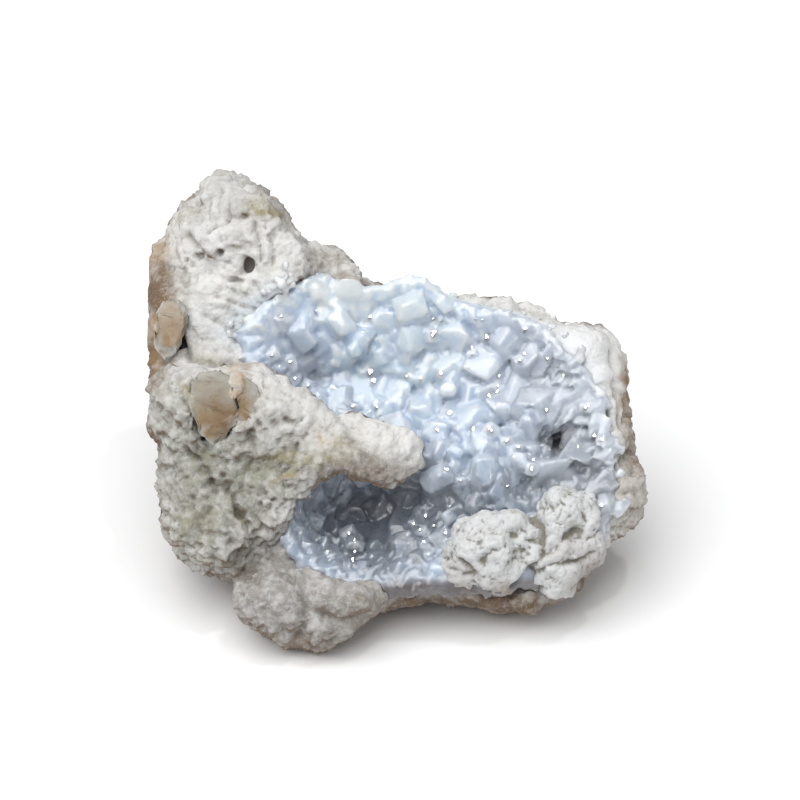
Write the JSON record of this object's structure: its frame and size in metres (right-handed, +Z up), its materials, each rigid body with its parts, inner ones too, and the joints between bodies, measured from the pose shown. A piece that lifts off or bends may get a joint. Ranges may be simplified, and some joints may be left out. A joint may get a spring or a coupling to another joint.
{
  "type": "celestite geode",
  "caption": "Hand-sized piece of a broken geode: pale host rock round an open hollow lined with pale blue crystals, with a white nodule at its lower edge.",
  "frame": {"origin": "on the surface that the rock stands on, under the centre of its bounding box", "axes": "+Z up, +X to the right as seen from the open side, the hollow opens towards -Y and up"},
  "size_m": [0.0802, 0.0664, 0.0538],
  "materials": {
    "host_rock": "rough, sugary, matt",
    "celestite": "glassy faces, milky blue inside",
    "white_mineral": "fine grained, matt",
    "iron_stained_crystal": "waxy, translucent, iron stained"
  },
  "bodies": {
    "root": {"matrix": "host_rock", "celestite_crust": "celestite", "white_nodule": "white_mineral", "amber_crystal_front": "iron_stained_crystal", "amber_crystal_side": "iron_stained_crystal", "amber_crystal_upper": "iron_stained_crystal"}
  },
  "joints": []
}
